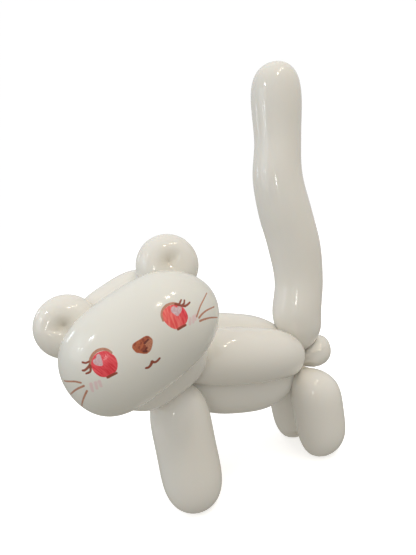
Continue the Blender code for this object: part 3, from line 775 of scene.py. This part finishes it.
# the same latex with a darker base colour: painted shade that tones down how brightly the face is lit
faceShadedLook = dict(latexLook, light=(0.81, 0.805, 0.755), cloudy=(0.785, 0.78, 0.73))
faceLatex = makeFaceLatex("whiteLatexFace", faceShadedLook, inkLook)
for piece, node, slot, material in ((bodyBalloon, "body_balloon", "white_latex", latex),
                                    (headBalloon, "head_balloon", "white_latex_head", headLatex),
                                    (faceBalloon, "face_balloon", "white_latex_face", faceLatex)):
    piece.data.materials.append(material)
    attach(piece, "root")
    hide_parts(node)
print("materials made")


stagePlan = dict(roughness=0.9, floorRadius=14.0, floorSides=96, floorColour=(0.9, 0.9, 0.9), floorGlow=0.55,
                 backdropRadius=15.0, backdropTurns=48, backdropRises=16, backdropFrom=-0.1, backdropGap=0.01,
                 backdropColour=(0, 0, 0), backdropGlow=1.0, skyHigh=(0.70, 0.695, 0.685),
                 skyLow=(0.36, 0.34, 0.295), skyFrom=-0.6, skyTo=0.6)


# A stage piece is seen by the camera, but doesn't light or shade what stands on it.
def addStage(name, mesh, colour, glow):
    piece = bpy.data.objects.new(name, mesh)
    bpy.context.scene.collection.objects.link(piece)
    material, tree, surface = newMaterial(name)
    surface.inputs["Base Color"].default_value = (*colour, 1)
    surface.inputs["Roughness"].default_value = stagePlan["roughness"]
    surface.inputs["Emission Color"].default_value = (1, 1, 1, 1)
    surface.inputs["Emission Strength"].default_value = glow
    mesh.materials.append(material)
    piece.visible_diffuse = False
    piece.visible_glossy = False
    piece.visible_transmission = False
    piece.visible_shadow = False


# a plain round floor: one face whose corners lie on a circle
def makeFloor(plan):
    angles = np.linspace(0, 2 * np.pi, plan["floorSides"] + 1)[:-1]
    rim = np.stack([np.cos(angles), np.sin(angles), 0 * angles], -1) * plan["floorRadius"]
    mesh = bpy.data.meshes.new("paleFloor")
    mesh.from_pydata(rim.tolist(), [], [list(range(plan["floorSides"]))])
    addStage("paleFloor", mesh, plan["floorColour"], plan["floorGlow"])


# a white dome round it all: rings of a half sphere that face inwards, and a last face that closes the top
def makeBackdrop(plan):
    around, up = plan["backdropTurns"], plan["backdropRises"]
    turns, rises = np.meshgrid(np.linspace(0, 2 * np.pi, around + 1)[:-1],
                               np.linspace(plan["backdropFrom"], np.pi / 2 - plan["backdropGap"], up))
    dome = np.stack([np.cos(turns) * np.cos(rises), np.sin(turns) * np.cos(rises), np.sin(rises)], -1)
    i, j = np.meshgrid(np.arange(up - 1), np.arange(around), indexing="ij")
    i, j = i.ravel(), j.ravel()
    k = (j + 1) % around
    quads = np.stack([i * around + j, (i + 1) * around + j, (i + 1) * around + k, i * around + k], -1).tolist()
    top = list(range(around * (up - 1), around * up))[::-1]
    mesh = bpy.data.meshes.new("whiteBackdrop")
    mesh.from_pydata((dome.reshape(-1, 3) * plan["backdropRadius"]).tolist(), [], quads + [top])
    addStage("whiteBackdrop", mesh, plan["backdropColour"], plan["backdropGlow"])


# The light all round: paler above than below, spread smoothly with height.
def makeWorld(plan):
    world = bpy.data.worlds.new("studio")
    world.use_nodes = True
    tree = world.node_tree
    sky = tree.nodes["Background"]
    coords = addNode(tree, "ShaderNodeTexCoord").outputs["Generated"]
    height = addNode(tree, "ShaderNodeSeparateXYZ")
    tree.links.new(coords, height.inputs[0])
    share = addRange(tree, height.outputs["Z"], plan["skyFrom"], plan["skyTo"], 0.0, 1.0, smooth=True)
    tree.links.new(layColour(tree, share, plan["skyLow"], plan["skyHigh"]), sky.inputs["Color"])
    bpy.context.scene.world = world


# Lamps stand off from the middle of the cat in the given directions, and face it. A lamp's power is its brightness
# times pi and its area. One that isn't seen lights the latex without a reflection in it.
lampMiddle = (0.0, -0.02, 0.17)
lampPlan = dict(
    ceilingOne=dict(way=(0.58, -0.02, 0.81), off=2.2, size=(0.16, 0.16), brightness=33, colour=(1.0, 0.86, 0.66)),
    ceilingTwo=dict(way=(0.44, 0.21, 0.87), off=2.2, size=(0.16, 0.16), brightness=33, colour=(1.0, 0.86, 0.66)),
    ceilingThree=dict(way=(0.31, 0.39, 0.87), off=2.2, size=(0.16, 0.16), brightness=30, colour=(1.0, 0.86, 0.66)),
    ceiling=dict(way=(0.40, 0.22, 0.89), off=1.6, size=(0.7, 0.7), brightness=1.5, colour=(1.0, 0.93, 0.82),
                 seen=False),
    window=dict(way=(-0.10, -0.91, 0.40), off=1.8, size=(1.1, 1.1), brightness=0.72, colour=(0.78, 0.89, 1.0)),
    room=dict(way=(0.93, 0.25, 0.22), off=1.6, size=(0.9, 0.9), brightness=0.12, colour=(1.0, 0.94, 0.84), seen=False),
    skylight=dict(way=(0.12, -0.73, 0.67), off=2.0, size=(0.14, 0.15), brightness=26, colour=(0.93, 0.97, 1.0)),
    leftPane=dict(way=(-0.085, -0.90, 0.42), off=2.0, size=(0.07, 0.16), brightness=10, colour=(0.90, 0.95, 1.0)),
    rightPane=dict(way=(0.05, -0.91, 0.42), off=2.0, size=(0.07, 0.16), brightness=10, colour=(0.90, 0.95, 1.0)),
    sideWindow=dict(way=(-0.72, -0.60, 0.34), off=1.8, size=(0.14, 0.36), brightness=3.4, colour=(0.80, 0.89, 1.0)),
    frontLamp=dict(way=(0.76, -0.60, 0.22), off=2.0, size=(0.17, 0.24), brightness=11, colour=(1.0, 0.98, 0.94)),
)


def addLamp(name, plan):
    lamp = bpy.data.lights.new(name, "AREA")
    lamp.shape = "RECTANGLE"
    lamp.size, lamp.size_y = plan["size"]
    lamp.energy = plan["brightness"] * np.pi * lamp.size * lamp.size_y
    lamp.color = plan["colour"]
    made = bpy.data.objects.new(name, lamp)
    back = unit(plan["way"])
    right = unit(np.cross((0, 0, 1), back))
    up = np.cross(back, right)
    rows = np.column_stack([right, up, back, np.array(lampMiddle) + back * plan["off"]])
    made.matrix_world = Matrix([*rows.tolist(), [0, 0, 0, 1]])
    made.visible_glossy = plan.get("seen", True)
    bpy.context.scene.collection.objects.link(made)


cameraPlan = dict(place=(0.3318, -0.1280, 0.2395), azimuth=68.55, elevation=6.49, roll=9.36,
                  focalPixels=417.0, imageWidth=416.0, sensorWidth=36, clip=(0.01, 50))


# The view looks back along (sin a cos e, -cos a cos e, sin e), and is rolled about that line.
def makeCamera(plan):
    a, e, r = np.radians([plan["azimuth"], plan["elevation"], plan["roll"]])
    back = np.array([np.sin(a) * np.cos(e), -np.cos(a) * np.cos(e), np.sin(e)])
    level = np.array([np.cos(a), np.sin(a), 0])
    rise = np.cross(back, level)
    right = np.cos(r) * level - np.sin(r) * rise
    up = np.sin(r) * level + np.cos(r) * rise
    lens = bpy.data.cameras.new("camera")
    lens.sensor_fit = "HORIZONTAL"
    lens.sensor_width = plan["sensorWidth"]
    lens.lens = plan["sensorWidth"] * plan["focalPixels"] / plan["imageWidth"]
    lens.clip_start, lens.clip_end = plan["clip"]
    made = bpy.data.objects.new("camera", lens)
    rows = np.column_stack([right, up, back, plan["place"]])
    made.matrix_world = Matrix([*rows.tolist(), [0, 0, 0, 1]])
    bpy.context.scene.collection.objects.link(made)
    bpy.context.scene.camera = made


makeFloor(stagePlan)
makeBackdrop(stagePlan)
makeWorld(stagePlan)
for name, plan in lampPlan.items():
    addLamp(name, plan)
makeCamera(cameraPlan)
bpy.context.scene.view_settings.view_transform = "Standard"
print("stage made")
